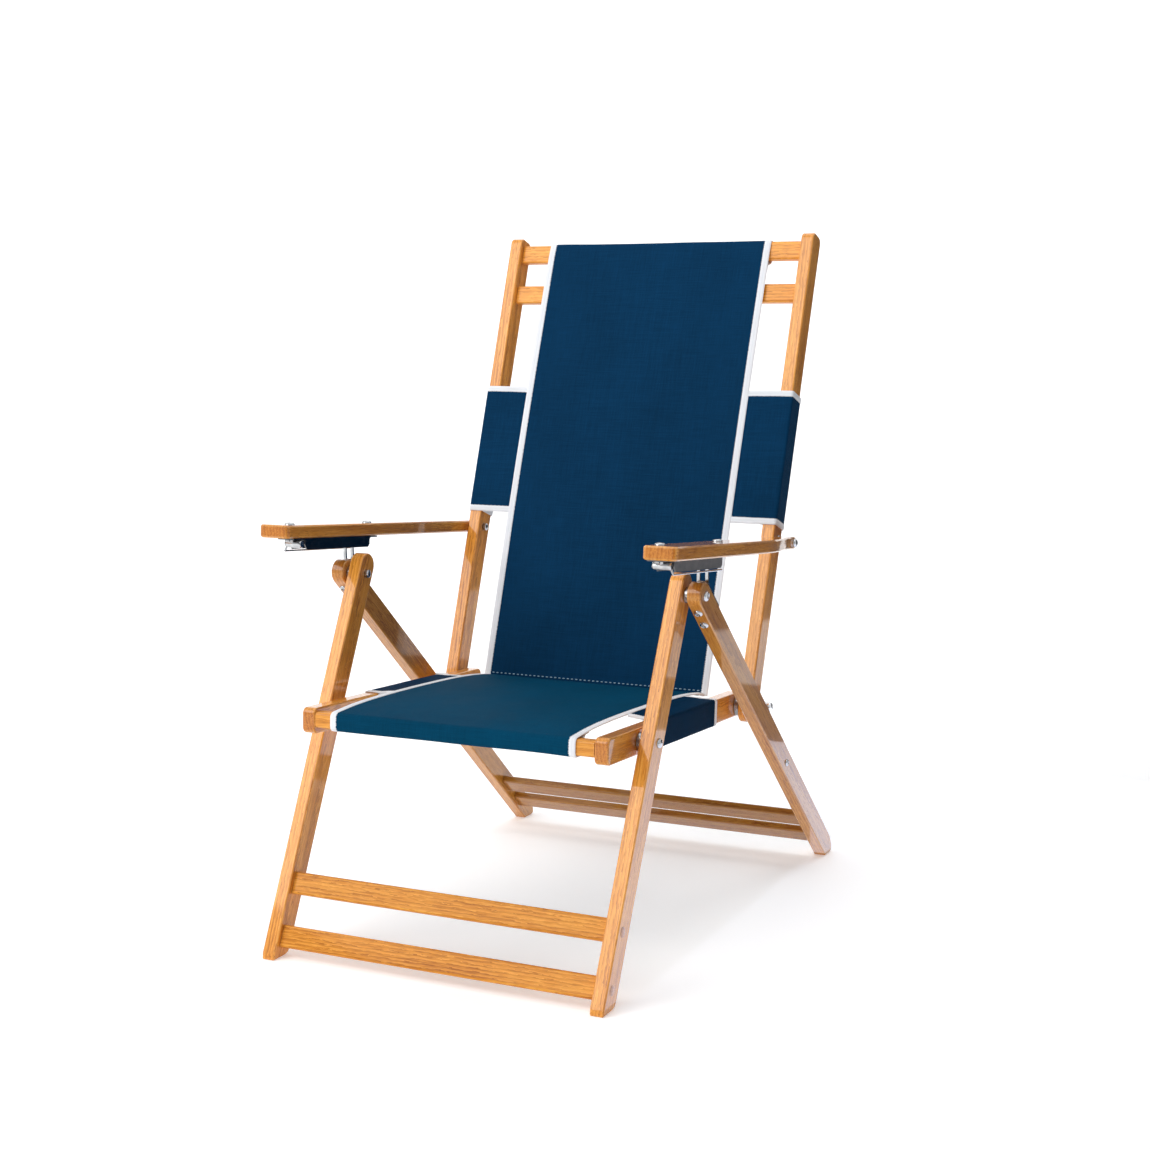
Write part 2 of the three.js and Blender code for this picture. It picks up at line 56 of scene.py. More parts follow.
# ---- Driving sizes (millimetres) -----------------------------------------------------------
CLOTH = 1.2                   # thickness of the canvas
TAPE = 2.6                    # thickness of the folded edge tape
TAPE_WIDTH = {"back": 10.5, "seat": 9.5, "sleeve": 9.0}
GRID_STEP = 3.0               # spacing of a panel's mesh along the cloth
ACROSS = 56                   # columns of a panel's mesh across the chair
STITCH = {"pitch": 3.6, "length": 2.6, "radius": 0.42}
SEAM_STITCH = {"pitch": 7.2, "length": 4.2, "radius": 0.9}
TAPE_SLANT = 38               # degrees that the tapes' zigzag stitches lean to each side
SEAM_BEND = 14.0              # a length back from the seam; join_at_seam makes a point from it that goes unused
CREASE_DROP = 10.0            # how far the back canvas runs on below its solid, to the seam
CLEAR = 0.5                   # gap between the canvas and the top rail or a sleeve's bar
PLUG_RADIUS = 7.5             # wooden plugs over the cross rails' dowels

# ---- Colours (linear) ----------------------------------------------------------------------
# The navies differ partly by the cloth's own dye and partly by painted light and shade; the seat sleeves'
# much darker navy is painted shade.
NAVY = {"back": (0.0040, 0.037, 0.097), "seat": (0.0022, 0.053, 0.112),
        "back_sleeve": (0.0040, 0.038, 0.100), "seat_sleeve": (0.0006, 0.022, 0.064)}
TAPE_WHITE = (0.88, 0.89, 0.92)
TAPE_MIDDLE = (0.70, 0.74, 0.79)
TAPE_SOILED = (0.78, 0.79, 0.80)
TAPE_RIB_SHADE = (0.86, 0.87, 0.89)
THREADS = {"white": (0.80, 0.81, 0.82), "seam": (0.30, 0.47, 0.60), "navy": (0.012, 0.05, 0.11)}
OAK_DARK, OAK_MID, OAK_LIGHT = (0.36, 0.105, 0.012), (0.66, 0.245, 0.027), (0.84, 0.375, 0.060)
OAK_END_TINT = (0.80, 0.68, 0.52)
# The pale edge colour below is partly wear and partly painted highlight.
OAK_WEAR_AND_HIGHLIGHT = (0.93, 0.60, 0.26)
CHROME_DULL, CHROME_BRIGHT = (0.60, 0.61, 0.63), (0.86, 0.86, 0.86)
CHROME_RIB_SHADE = (0.55, 0.55, 0.56)

# ---- Stage (metres) ------------------------------------------------------------------------
FLOOR_GLOW = 0.28             # light of the floor itself, which keeps it near white
WORLD_TINT = (0.96, 0.98, 1.0, 1)
WORLD_LIGHT = 0.9
BESIDE_LEGS = 0.262           # where the cards on the floor start, outside the right front leg
BLACK_CARD = {"Base_Color": (0.03, 0.03, 0.035, 1), "Roughness": 0.9}
GLOWING_CARD = {"Base_Color": (0, 0, 0, 1), "Emission_Color": (0.93, 0.97, 1.12, 1),
                "Emission_Strength": 1.5}

# ---- Camera (millimetres of lens, metres, degrees) -----------------------------------------
CAMERA_LENS, CAMERA_SENSOR = 58.32, 36
CAMERA_SHIFT = (0.0159, 0.1058)
CAMERA_PLACE = (1.1677, -2.4566, 0.8584)
CAMERA_DROP, CAMERA_TURN = 11.335, 25.683    # down from level, and leftwards from facing +Y


# ---- Camera, made first --------------------------------------------------------------------
def make_camera():
    """The scene's camera: to the right of the chair's front, higher than its arms."""
    data = bpy.data.cameras.new("camera")
    data.lens = CAMERA_LENS
    data.sensor_width = CAMERA_SENSOR
    data.shift_x, data.shift_y = CAMERA_SHIFT
    camera = bpy.data.objects.new("camera", data)
    camera.location = CAMERA_PLACE
    camera.rotation_euler = (math.radians(90 - CAMERA_DROP), 0, math.radians(CAMERA_TURN))
    bpy.context.scene.collection.objects.link(camera)
    bpy.context.scene.camera = camera


# ---- Leaning frames ------------------------------------------------------------------------
class Leaning:
    """A frame that leans with a bar about a joint: local x across the chair, z towards the top of
    an upright bar, y out of its rear face. On a level bar y runs rearwards and z is up."""

    def __init__(self, joint, node, level=False):
        pivot = next(Vector(j["pos_m"]) for j in frame["joints"] if j["name"] == joint)
        pivot.x = 0
        self.lean = bar_lean(node, level)
        self.matrix = Matrix.Translation(pivot) @ Matrix.Rotation(-self.lean, 4, "X")
        self.inverse = self.matrix.inverted()

    def local_points(self, node):
        points = np.array([self.inverse @ v.co for v in NODES[node].data.vertices])
        return points / MM

    def box(self, node):
        """Lowest and highest local corner of a CAD node, in millimetres."""
        points = self.local_points(node)
        return Vector(points.min(0)), Vector(points.max(0))

    def tree(self, node):
        faces = [tuple(p.vertices) for p in NODES[node].data.polygons]
        return BVHTree.FromPolygons([Vector(p) for p in self.local_points(node)], faces)

    def world(self, x, y, z):
        """A local point in millimetres as a point of the row frame."""
        return self.matrix @ (Vector((x, y, z)) * MM)


def bar_lean(node, level):
    """How far a bar leans back from the vertical, or a level bar drops rearwards, in radians."""
    sums = {}
    for face in NODES[node].data.polygons:
        if abs(face.normal.x) < 0.1:
            key = round(math.degrees(math.atan2(face.normal.z, face.normal.y)))
            sums[key] = sums.get(key, Vector()) + face.normal * face.area
    widest = max(sums.values(), key=lambda total: total.length)
    angle = math.atan2(widest.z, widest.y)
    lean = (math.pi / 2 - angle) if level else -angle
    return (lean + math.pi / 2) % math.pi - math.pi / 2


FRONT = Leaning("leg_fold", "front_leg_right")
REAR = Leaning("leg_fold", "rear_leg_right")
BACK = Leaning("back_recline", "back_upright_right")
SEAT = Leaning("seat_lift", "seat_side_rail_right", level=True)
ARM = Leaning("arm_lift_right", "arm_right", level=True)


# ---- Node trees ----------------------------------------------------------------------------
def node(tree, kind, inputs=None, **settings):
    """One shader node. An input is a socket to link, or a value to set."""
    made = tree.nodes.new("ShaderNode" + kind)
    for key, value in settings.items():
        setattr(made, key, value)
    for key, value in (inputs or {}).items():
        if isinstance(value, bpy.types.NodeSocket):
            tree.links.new(value, made.inputs[key])
        else:
            made.inputs[key].default_value = value
    return made


def blank_material(name, **surface):
    """A material with one Principled shader, whose even values are set on its own sockets."""
    material = bpy.data.materials.new(name)
    material.use_nodes = True
    tree = material.node_tree
    shader = tree.nodes["Principled BSDF"]
    for key, value in surface.items():
        shader.inputs[key.replace("_", " ")].default_value = value
    return material, tree, shader


def ramp(tree, factor, stops):
    """A colour ramp: stops are (position, colour)."""
    made = node(tree, "ValToRGB", {"Fac": factor})
    elements = made.color_ramp.elements
    while len(elements) < len(stops):
        elements.new(0.5)
    for element, (position, colour) in zip(elements, stops):
        element.position = position
        element.color = (*colour, 1) if len(colour) == 3 else colour
    return made.outputs["Color"]


def spread(tree, value, low, high, to_low=0.0, to_high=1.0):
    """Maps low..high to to_low..to_high, held at both ends."""
    inputs = {"Value": value, "From Min": low, "From Max": high, "To Min": to_low, "To Max": to_high}
    return node(tree, "MapRange", inputs).outputs["Result"]


def maths(tree, operation, a, b=0.5):
    """One Math node. a and b are sockets or numbers."""
    return node(tree, "Math", {0: a, 1: b}, operation=operation).outputs[0]


def scaled(tree, vector, factors):
    """A vector multiplied by one factor for each axis."""
    inputs = {0: vector, 1: factors}
    return node(tree, "VectorMath", inputs, operation="MULTIPLY").outputs[0]


def noise_at(tree, vector, factors, detail=2.0, roughness=0.5):
    """Noise over a vector that is first stretched by one factor for each axis."""
    inputs = {"Vector": scaled(tree, vector, factors), "Scale": 1.0, "Detail": detail,
              "Roughness": roughness}
    return node(tree, "TexNoise", inputs).outputs["Fac"]


def tinted(tree, colour, other, factor, blend="MIX"):
    """A colour mixed with another one, or multiplied by it, as far as factor says."""
    inputs = {"Factor": factor, "A": colour, "B": other}
    made = node(tree, "Mix", data_type="RGBA", blend_type=blend)
    sockets = {"Factor": made.inputs[0], "A": made.inputs[6], "B": made.inputs[7]}
    for key, value in inputs.items():
        if isinstance(value, bpy.types.NodeSocket):
            tree.links.new(value, sockets[key])
        else:
            sockets[key].default_value = (*value, 1) if isinstance(value, tuple) else value
    return made.outputs[2]


def finish(tree, shader, colour, rough, strength, depth, height):
    """Links a shader's colour, roughness and bump. depth is the bump's height in millimetres."""
    bump = node(tree, "Bump", {"Strength": strength, "Distance": depth * MM, "Height": height})
    links = {"Base Color": colour, "Roughness": rough, "Normal": bump.outputs["Normal"]}
    for key, socket in links.items():
        tree.links.new(socket, shader.inputs[key])


# ---- Materials -----------------------------------------------------------------------------
RUN_TURN = {                  # turns a bar's own length onto the grain's z axis
    "z": Matrix.Identity(3),
    "y": Matrix.Rotation(math.radians(90), 3, "X"),
    "x": Matrix.Rotation(math.radians(-90), 3, "Y"),
}


def grain_vector(tree, source, place, run, seed, kind="POINT"):
    """Coordinates with z along the grain. The pith of the log lies beside the bar, nearly parallel."""
    tilt = Matrix.Rotation(math.radians(0.8 + 0.5 * math.sin(seed)), 3, "Y")
    turn = tilt @ RUN_TURN[run] @ Matrix.Rotation(place.lean, 3, "X")
    inputs = {"Vector": source, "Rotation": turn.to_euler("XYZ")}
    if kind == "POINT":
        pith = Vector((0.045 + 0.02 * math.sin(3 * seed), 0.05 * math.cos(2 * seed), 1.7 * seed))
        inputs["Location"] = pith - turn @ place.matrix.to_translation()
    return node(tree, "Mapping", inputs, vector_type=kind).outputs["Vector"]


def oak(name, place, run, seed, tone_and_painted_light=1.0, varnish=1.0):
    """Varnished oak: growth rings, fibres, open pores, darker end grain and paler edges, partly wear and
    partly painted highlight.
    """
    material, tree, shader = blank_material(
        f"oak_{name}", Coat_Weight=varnish, Coat_Roughness=0.05, Coat_IOR=1.45, IOR=1.4,
        Specular_IOR_Level=0.2 * varnish)
    source = node(tree, "TexCoord")
    grain = grain_vector(tree, source.outputs["Object"], place, run, seed)
    ring_inputs = {"Vector": scaled(tree, grain, (1, 1, 0.09)), "Scale": 62.0, "Distortion": 5.5,
                   "Detail": 2.0, "Detail Scale": 9.0, "Detail Roughness": 0.55}
    rings = node(tree, "TexWave", ring_inputs, wave_type="RINGS", rings_direction="Z",
                 wave_profile="SAW").outputs["Fac"]
    fibres = noise_at(tree, grain, (620, 620, 16), 3.0)
    streaks = noise_at(tree, grain, (150, 150, 5), 2.0)
    pores = spread(tree, noise_at(tree, grain, (1500, 1500, 55), 1.0), 0.60, 0.70)
    tone_noise = noise_at(tree, grain, (22, 22, 2.4), 2.0)
    mix = maths(tree, "ADD", maths(tree, "MULTIPLY", rings, 0.34), maths(tree, "MULTIPLY", fibres, 0.36))
    mix = maths(tree, "ADD", mix, maths(tree, "MULTIPLY", streaks, 0.42))
    mix = maths(tree, "ADD", mix, maths(tree, "MULTIPLY", tone_noise, 0.30))
    # Every colour is scaled by one factor, partly the bar's own tone and partly painted light and shade.
    shade = lambda colour: tuple(tone_and_painted_light * c for c in colour)
    colour = ramp(tree, mix, [(0.42, shade(OAK_DARK)), (0.66, shade(OAK_MID)), (0.92, shade(OAK_LIGHT))])
    colour = tinted(tree, colour, shade(OAK_DARK), maths(tree, "MULTIPLY", pores, 0.42))
    normal = grain_vector(tree, source.outputs["Normal"], place, run, seed, kind="NORMAL")
    ends = maths(tree, "ABSOLUTE", node(tree, "SeparateXYZ", {"Vector": normal}).outputs["Z"])
    colour = tinted(tree, colour, OAK_END_TINT, spread(tree, ends, 0.75, 0.98), "MULTIPLY")
    # Paler rounded edges: partly wear, partly a painted highlight along every edge.
    rounded = node(tree, "Bevel", {"Radius": 2.2 * MM}, samples=4).outputs["Normal"]
    facing = node(tree, "NewGeometry").outputs["Normal"]
    edge_dot = node(tree, "VectorMath", {0: rounded, 1: facing}, operation="DOT_PRODUCT").outputs["Value"]
    wear_and_highlight = maths(tree, "MULTIPLY", spread(tree, edge_dot, 0.985, 0.90),
                 spread(tree, streaks, 0.3, 0.7, 0.15, 0.5))
    colour = tinted(tree, colour, OAK_WEAR_AND_HIGHLIGHT, wear_and_highlight)
    rough = maths(tree, "ADD", spread(tree, fibres, 0.3, 0.7, 0.27, 0.40),
                  maths(tree, "MULTIPLY", pores, 0.2))
    height = maths(tree, "SUBTRACT", maths(tree, "MULTIPLY", fibres, 0.5), pores)
    finish(tree, shader, colour, rough, 0.35, 0.25, height)
    return material


def chrome(name, painted_shade_factor=1.0, ribs=None, rough=(0.09, 0.24)):
    """Chromed steel with faint brushing and handling marks, dimmed all over as painted shade; ribs is the
    pitch of pressed ribs in mm.
    """
    material, tree, shader = blank_material(f"chrome_{name}", Metallic=1.0)
    position = node(tree, "TexCoord").outputs["Object"]
    marks = noise_at(tree, position, (140, 140, 140), 4.0)
    brushing = noise_at(tree, position, (2600, 260, 900), 1.0)
    # Painted shade: the whole colour is dimmed, so that the chrome mirrors a darker surround than the stage
    # holds.
    shade = lambda colour: tuple(painted_shade_factor * c for c in colour)
    colour = ramp(tree, marks, [(0.3, shade(CHROME_DULL)), (0.7, shade(CHROME_BRIGHT))])
    height = brushing
    if ribs:
        along = grain_vector(tree, position, ARM, "z", 0)
        wave_inputs = {"Vector": along, "Scale": 2 * math.pi / (20 * ribs * MM)}
        rib = node(tree, "TexWave", wave_inputs, wave_type="BANDS", bands_direction="Y").outputs["Fac"]
        height = maths(tree, "ADD", brushing, maths(tree, "MULTIPLY", rib, 2.0))
        # Painted shade in stripes that follow the pressed ribs.
        colour = tinted(tree, colour, CHROME_RIB_SHADE, maths(tree, "MULTIPLY", rib, 0.5), "MULTIPLY")
    finish(tree, shader, colour, spread(tree, marks, 0.3, 0.75, *rough), 0.12, 0.08, height)
    return material


def weave(tree, cloth, pitch):
    """Height of a plain weave whose threads lie pitch millimetres apart."""
    scale = 2 * math.pi / (20 * pitch * MM)
    inputs = {"Vector": cloth, "Scale": scale, "Distortion": 0.6, "Detail Scale": 0.05}
    threads = [node(tree, "TexWave", inputs, wave_type="BANDS", bands_direction=axis).outputs["Fac"]
               for axis in "XY"]
    return maths(tree, "MULTIPLY", *threads)


def canvas(name, colour):
    """Woven canvas: crossing threads with painted shade between them, slubs, slow fading and a soft sheen."""
    material, tree, shader = blank_material(
        f"canvas_{name}", Sheen_Weight=0.025, Sheen_Roughness=0.35, Sheen_Tint=(0.08, 0.55, 0.85, 1),
        Specular_IOR_Level=0.3, Specular_Tint=(0.3, 0.8, 1.0, 1), IOR=1.12)
    cloth = node(tree, "Attribute", attribute_name="cloth").outputs["Vector"]
    relief = weave(tree, cloth, 0.62)
    warp_slubs = noise_at(tree, cloth, (1300, 28, 1), 1.0)
    weft_slubs = noise_at(tree, cloth, (28, 1300, 1), 1.0)
    fading = noise_at(tree, cloth, (7, 5, 1), 3.0)
    fuzz = noise_at(tree, cloth, (2600, 2600, 1), 1.0)
    slubs = maths(tree, "ADD", warp_slubs, weft_slubs)
    level = maths(tree, "ADD", spread(tree, slubs, 0.7, 1.3, 0.84, 1.16),
                  spread(tree, fading, 0.3, 0.7, -0.1, 0.1))
    # Painted shade between the threads: the weave's hollows are darkened.
    level = maths(tree, "MULTIPLY", level, spread(tree, relief, 0.0, 0.8, 0.78, 1.12))
    base = node(tree, "VectorMath", {0: colour, "Scale": level}, operation="SCALE").outputs[0]
    height = maths(tree, "ADD", maths(tree, "ADD", relief, maths(tree, "MULTIPLY", slubs, 0.6)),
                   maths(tree, "MULTIPLY", fuzz, 0.4))
    finish(tree, shader, base, spread(tree, fading, 0.3, 0.7, 0.62, 0.78), 0.55, 0.22, height)
    return material


def edge_tape():
    """White woven tape: fine cross ribs with painted shade between them, a greyer line down its middle, a
    little soiling.
    """
    material, tree, shader = blank_material("edge_tape", Sheen_Weight=0.2, Sheen_Roughness=0.5,
                                            Specular_IOR_Level=0.3)
    cloth = node(tree, "Attribute", attribute_name="cloth").outputs["Vector"]
    ribs = weave(tree, cloth, 0.8)
    soiling = noise_at(tree, cloth, (60, 35, 1), 3.0)
    share = node(tree, "SeparateXYZ", {"Vector": cloth}).outputs["Z"]
    from_middle = maths(tree, "ABSOLUTE", maths(tree, "SUBTRACT", share, 0.5))
    line = spread(tree, from_middle, 0.05, 0.13, 0.35, 0.0)
    colour = tinted(tree, TAPE_WHITE, TAPE_MIDDLE, line)
    colour = tinted(tree, colour, TAPE_SOILED, spread(tree, soiling, 0.5, 0.8, 0.0, 0.35))
    # Painted shade in the hollows between the tape's ribs.
    colour = tinted(tree, colour, TAPE_RIB_SHADE, spread(tree, ribs, 0.6, 0.0, 0.0, 0.4), "MULTIPLY")
    finish(tree, shader, colour, spread(tree, soiling, 0.3, 0.7, 0.7, 0.9), 0.6, 0.3, ribs)
    return material


def thread(name, colour):
    """Twisted sewing thread, with painted shade in the grooves of its twist."""
    material, tree, shader = blank_material(f"thread_{name}", Sheen_Weight=0.3, Sheen_Roughness=0.4)
    position = node(tree, "TexCoord").outputs["Object"]
    twist = node(tree, "TexWave", {"Vector": position, "Scale": 700.0, "Distortion": 1.0},
                 wave_type="BANDS", bands_direction="DIAGONAL").outputs["Fac"]
    # Painted shade: the low parts of the twist are darker.
    colour = tinted(tree, tuple(0.72 * c for c in colour), colour, twist)
    finish(tree, shader, colour, spread(tree, twist, 0.0, 1.0, 0.55, 0.7), 0.3, 0.1, twist)
    return material


def floor_paint():
    """Matt near-white paint, faintly mottled."""
    material, tree, shader = blank_material("floor_paint", Specular_IOR_Level=0.2)
    position = node(tree, "TexCoord").outputs["Object"]
    mottle = noise_at(tree, position, (3, 3, 3), 4.0)
    tree.links.new(ramp(tree, mottle, [(0.3, (0.90, 0.90, 0.905)), (0.7, (0.92, 0.92, 0.92))]),
                   shader.inputs["Base Color"])
    tree.links.new(spread(tree, mottle, 0.3, 0.7, 0.55, 0.7), shader.inputs["Roughness"])
    shader.inputs["Emission Color"].default_value = (1, 0.99, 0.985, 1)
    shader.inputs["Emission Strength"].default_value = FLOOR_GLOW
    return material


# ---- Mesh helpers --------------------------------------------------------------------------
def add_piece(name, place, verts, faces, material, body, slot, sharp=40, cloth=None, replaces=()):
    """A piece from local points in millimetres. It rides on body, unless body is None."""
    mesh = bpy.data.meshes.new(name)
    mesh.from_pydata([tuple(v) for v in np.asarray(verts, float) * MM], [], faces)
    if cloth is not None:
        attribute = mesh.attributes.new("cloth", "FLOAT_VECTOR", "POINT")
        attribute.data.foreach_set("vector", np.asarray(cloth, np.float32).ravel())
    mesh.transform(place.matrix)
    mesh.validate()
    mesh.shade_smooth()
    mesh.set_sharp_from_angle(angle=math.radians(sharp))
    mesh.materials.append(material)
    obj = bpy.data.objects.new(name, mesh)
    bpy.context.scene.collection.objects.link(obj)
    if body:
        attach(obj, body)
    if replaces:
        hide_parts(*replaces)
    return obj


def resample(points, step):
    """A polyline's points at even spacing of about step."""
    points = np.asarray(points, float)
    gone = travel(points)
    count = max(2, int(round(gone[-1] / step)) + 1)
    where = np.linspace(0, gone[-1], count)
    return np.stack([np.interp(where, gone, points[:, k]) for k in range(points.shape[1])], axis=1)


def arc(centre, radius, start, end, steps=8):
    """Points on an arc in the (y, z) plane; angles in degrees from +y towards +z."""
    angles = np.radians(np.linspace(start, end, steps))
    return [(centre[0] + radius * math.cos(a), centre[1] + radius * math.sin(a)) for a in angles]


def lengths(grid, axis):
    """How far each point of a grid lies along its own row or column."""
    steps = np.linalg.norm(np.diff(grid, axis=axis), axis=2)
    zero = np.zeros_like(np.take(steps, [0], axis=axis))
    return np.concatenate([zero, np.cumsum(steps, axis=axis)], axis=axis)


def travel(path):
    """Distance gone along a path at each of its points."""
    return lengths(path[:, None, :], 0)[:, 0]


def outward_of(path):
    """The normals of a side-view path, as (x, y, z), on the outer side of its turn round a rail."""
    tangent = np.gradient(path, axis=0)
    normal = np.stack([np.zeros(len(path)), -tangent[:, 1], tangent[:, 0]], axis=1)
    return normal / np.linalg.norm(normal, axis=1, keepdims=True)


def sheet_solid(grid, thickness):
    """A closed sheet around a grid of middle points: vertices, faces and cloth coordinates.
    Thickness is a number, or one value for each column."""
    rows, columns = grid.shape[:2]
    normal = np.cross(np.gradient(grid, axis=0), np.gradient(grid, axis=1))
    normal /= np.linalg.norm(normal, axis=2, keepdims=True)
    half = 0.5 * np.broadcast_to(np.asarray(thickness, float), (columns,))[None, :, None]
    verts = np.concatenate([(grid + normal * half).reshape(-1, 3), (grid - normal * half).reshape(-1, 3)])
    size = rows * columns
    at = lambda layer, i, j: layer * size + i * columns + j
    faces = []
    for i in range(rows - 1):
        for j in range(columns - 1):
            faces.append((at(0, i, j), at(0, i + 1, j), at(0, i + 1, j + 1), at(0, i, j + 1)))
            faces.append((at(1, i, j), at(1, i, j + 1), at(1, i + 1, j + 1), at(1, i + 1, j)))
        for j, flip in ((0, True), (columns - 1, False)):
            rim = (at(0, i, j), at(0, i + 1, j), at(1, i + 1, j), at(1, i, j))
            faces.append(rim[::-1] if flip else rim)
    for i, flip in ((0, False), (rows - 1, True)):
        for j in range(columns - 1):
            rim = (at(0, i, j), at(0, i, j + 1), at(1, i, j + 1), at(1, i, j))
            faces.append(rim[::-1] if flip else rim)
    across, along = lengths(grid, 1) * MM, lengths(grid, 0) * MM
    share = np.broadcast_to(np.linspace(0, 1, columns)[None, :], (rows, columns))
    cloth = np.stack([across, along, share], axis=2).reshape(-1, 3)
    return verts, faces, np.concatenate([cloth, cloth])


def strip(path, xs, lift=None):
    """A grid of points: a (y, z) path swept across the x positions. lift(x, along) raises the cloth."""
    outward = outward_of(path)[:, 1:]
    along = travel(path)
    grid = np.zeros((len(path), len(xs), 3))
    for j, x in enumerate(xs):
        rise = np.array([lift(x, s) for s in along]) if lift else np.zeros(len(path))
        grid[:, j, 0] = x
        grid[:, j, 1:] = path + outward * rise[:, None]
    return grid


def crowned(columns, thickness):
    """Thickness for each column of a folded tape: full in the middle, thin at both edges."""
    share = np.linspace(-1, 1, columns)
    return thickness * np.sqrt(np.clip(1 - share ** 6, 0.08, 1))


def stitch_row(name, place, body, material, line, outward, slant=0.0, size=STITCH):
    """A row of stitches along a polyline of local points. outward holds one normal for each point.
    slant turns every other stitch to each side, in degrees."""
    line, outward = np.asarray(line, float), np.asarray(outward, float)
    gone = travel(line)
    at = lambda values, s: np.array([np.interp(s, gone, values[:, k]) for k in range(3)])
    rings = ((-1.0, 0.25, -0.9), (-0.7, 0.8, -0.1), (0.0, 1.0, 0.25), (0.7, 0.8, -0.1), (1.0, 0.25, -0.9))
    sides = 6
    verts, faces = [], []
    for k in range(int(gone[-1] / size["pitch"])):
        middle = (k + 0.5) * size["pitch"]
        centre = at(line, middle)
        up = at(outward, middle)
        up /= np.linalg.norm(up)
        run = at(line, middle + 0.5) - at(line, middle - 0.5)
        run /= np.linalg.norm(run)
        side = np.cross(up, run)
        turn = math.radians(slant) * (1 if k % 2 else -1)
        run, side = run * math.cos(turn) + side * math.sin(turn), side * math.cos(turn) - run * math.sin(turn)
        base = len(verts)
        for reach, wide, rise in rings:
            for m in range(sides):
                angle = 2 * math.pi * m / sides
                offset = side * math.cos(angle) + up * math.sin(angle) * 0.8
                verts.append(centre + run * reach * size["length"] / 2
                             + (offset * wide + up * rise * 0.7) * size["radius"])
        for r in range(len(rings) - 1):
            for m in range(sides):
                a, b = base + r * sides + m, base + r * sides + (m + 1) % sides
                faces.append((a, b, b + sides, a + sides))
        faces.append(tuple(base + m for m in reversed(range(sides))))
        faces.append(tuple(base + (len(rings) - 1) * sides + m for m in range(sides)))
    return add_piece(name, place, verts, faces, material, body, "binding")


def lathe(name, place, profile, axis, at, material, body, replaces=(), segments=48):
    """A turned piece: (radius, station) profile, its axis laid along local x, y or z through at."""
    k = "xyz".index(axis)
    verts, faces, rows = [], [], []
    for radius, station in profile:
        row = []
        for m in range(1 if radius == 0 else segments):
            angle = 2 * math.pi * m / segments
            point = [at[0], at[1], at[2]]
            point[k] = station
            point[(k + 1) % 3] += radius * math.cos(angle)
            point[(k + 2) % 3] += radius * math.sin(angle)
            row.append(len(verts))
            verts.append(point)
        rows.append(row)
    for low, high in zip(rows, rows[1:]):
        for m in range(segments):
            quad = (low[m % len(low)], low[(m + 1) % len(low)],
                    high[(m + 1) % len(high)], high[m % len(high)])
            face = tuple(dict.fromkeys(quad))
            if len(face) > 2:
                faces.append(face)
    rising = profile[-1][1] >= profile[0][1]
    faces = faces if rising else [f[::-1] for f in faces]
    return add_piece(name, place, verts, faces, material, body, "chrome", sharp=35, replaces=replaces)


# ---- Oak bars ------------------------------------------------------------------------------
def refine_bar(name, soft):
    """Rounds a bar's facets and edges without touching its CAD mesh."""
    bar = NODES[name]
    bar.modifiers.new("weld", "WELD").merge_threshold = 0.01 * MM
    flat = bar.modifiers.new("flat", "DECIMATE")
    flat.decimate_type = "DISSOLVE"
    flat.angle_limit = math.radians(1.0)
    bevel = bar.modifiers.new("edges", "BEVEL")
    bevel.width = soft * MM
    bevel.segments = 3
    bevel.limit_method = "ANGLE"
    bevel.angle_limit = math.radians(20)
    flat_faces = bar.modifiers.new("flat_faces", "WEIGHTED_NORMAL")
    flat_faces.weight = 100
    bar.data.shade_smooth()


def dress_bars():
    """Gives every oak node its material, with its own stretch of grain and one factor that lightens or
    darkens it: partly its own tone, partly painted light and shade.
    """
    # The last number of each row below is painted light and shade: rear legs and rails are darkened as if in
    # shade, front legs, uprights and top rails lightened as if lit.
    bars = [("front_leg", FRONT, "z", 1.12), ("rear_leg", REAR, "z", 0.80),
            ("seat_side_rail", SEAT, "y", 0.97), ("back_upright", BACK, "z", 1.1),
            ("arm", ARM, "y", 0.95)]
    rails = [("front_rail_upper", FRONT, 0.97, 0.3), ("front_rail_lower", FRONT, 1.0, 0.3),
             ("rear_rail_upper", REAR, 0.52, 1.0), ("rear_rail_lower", REAR, 0.56, 1.0),
             ("seat_front_rail", SEAT, 1.0, 0.6), ("seat_rear_rail", SEAT, 0.9, 0.6),
             ("back_rail_top", BACK, 1.15, 0.6), ("back_rail_second", BACK, 1.12, 0.6)]
    dressed = [(f"{n}_{side}", place, run, tone_and_painted_light, 1.0) for n, place, run, tone_and_painted_light in bars for side in SIDES]
    dressed += [(n, place, "x", tone_and_painted_light, varnish) for n, place, tone_and_painted_light, varnish in rails]
    for seed, (name, place, run, tone_and_painted_light, varnish) in enumerate(dressed):
        NODES[name].data.materials.clear()
        NODES[name].data.materials.append(oak(name, place, run, seed + 1, tone_and_painted_light, varnish))
        refine_bar(name, 1.3 if run == "y" else 0.8)


def dowel_plugs():
    """Plugged dowels on the front legs' outer faces, level with the cross rails' ends."""
    end_grain = oak("plug", FRONT, "x", 40, 0.85)
    for level in ("upper", "lower"):
        low, high = FRONT.box(f"front_rail_{level}")
        for side, sign in SIDES.items():
            box = FRONT.box(f"front_leg_{side}")
            face = box[1].x if sign > 0 else box[0].x
            stations = [(0, 0.5), (PLUG_RADIUS - 0.9, 0.45), (PLUG_RADIUS - 0.2, 0.3),
                        (PLUG_RADIUS, 0.05), (PLUG_RADIUS, -0.6), (0, -0.6)]
            profile = [(r, face + sign * t) for r, t in stations]
            plug = lathe(f"dowel_plug_{level}_{side}", FRONT, profile[::-1], "x",
                         (0, (low.y + high.y) / 2, (low.z + high.z) / 2), end_grain, "front_frame")


